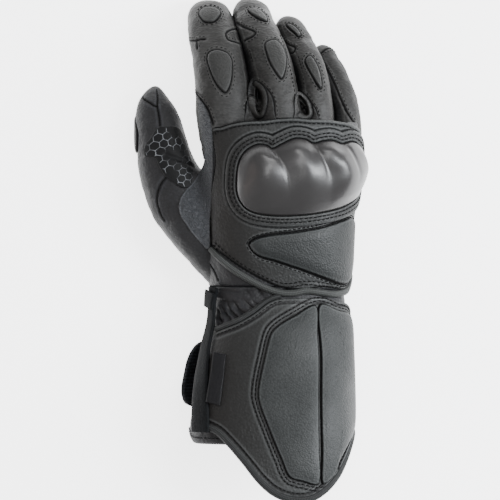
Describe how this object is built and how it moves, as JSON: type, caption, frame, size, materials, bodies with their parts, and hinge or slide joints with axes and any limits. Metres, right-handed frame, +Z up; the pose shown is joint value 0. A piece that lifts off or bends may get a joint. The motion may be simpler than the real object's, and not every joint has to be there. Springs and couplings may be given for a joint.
{
  "type": "winter motorcycle glove",
  "caption": "Right-hand long-gauntlet leather riding glove lying palm down, with a hard knuckle guard, padded fingers, gathered wrist and a padded flared cuff.",
  "frame": {"origin": "on the flat of the palm, at the surface the glove lies on, in the middle of the glove seen from above", "axes": "+Y points to the fingertips, +X to the little-finger side, +Z up, away from the surface it lies on"},
  "size_m": [0.1572, 0.3318, 0.0718],
  "materials": {
    "leather": "matte grained",
    "dark_leather": "matte grained",
    "pad_leather": "matte grained, foam backed",
    "guard_plastic": "satin gloss",
    "piping": "reflective piping",
    "grip_print": "printed grip",
    "webbing": "woven strap"
  },
  "bodies": {
    "root": {"hand_body": "dark_leather", "finger_web": "dark_leather", "finger_index": "leather", "finger_middle": "leather", "finger_ring": "leather", "finger_little": "leather", "thumb": "dark_leather", "wrist_gather": "dark_leather", "cuff_inner": "dark_leather", "cuff_gauntlet": "leather", "back_panel": "leather", "guard_surround": "leather", "knuckle_guard": "guard_plastic", "metacarpal_pad": "pad_leather", "cuff_plate_inner": "pad_leather", "cuff_plate_outer": "pad_leather", "wrist_piping": "piping", "cuff_top_piping": "piping", "cuff_hem_binding": "piping", "side_strap": "webbing", "strap_keeper": "leather", "side_label": "webbing", "closure_strap": "webbing", "index_tip_pad": "pad_leather", "index_knuckle_pad": "pad_leather", "middle_tip_pad": "pad_leather", "middle_knuckle_pad": "pad_leather", "ring_tip_pad": "pad_leather", "ring_knuckle_pad": "pad_leather", "thumb_knuckle_pad": "pad_leather", "thumb_grip_patch": "grip_print"}
  },
  "joints": []
}
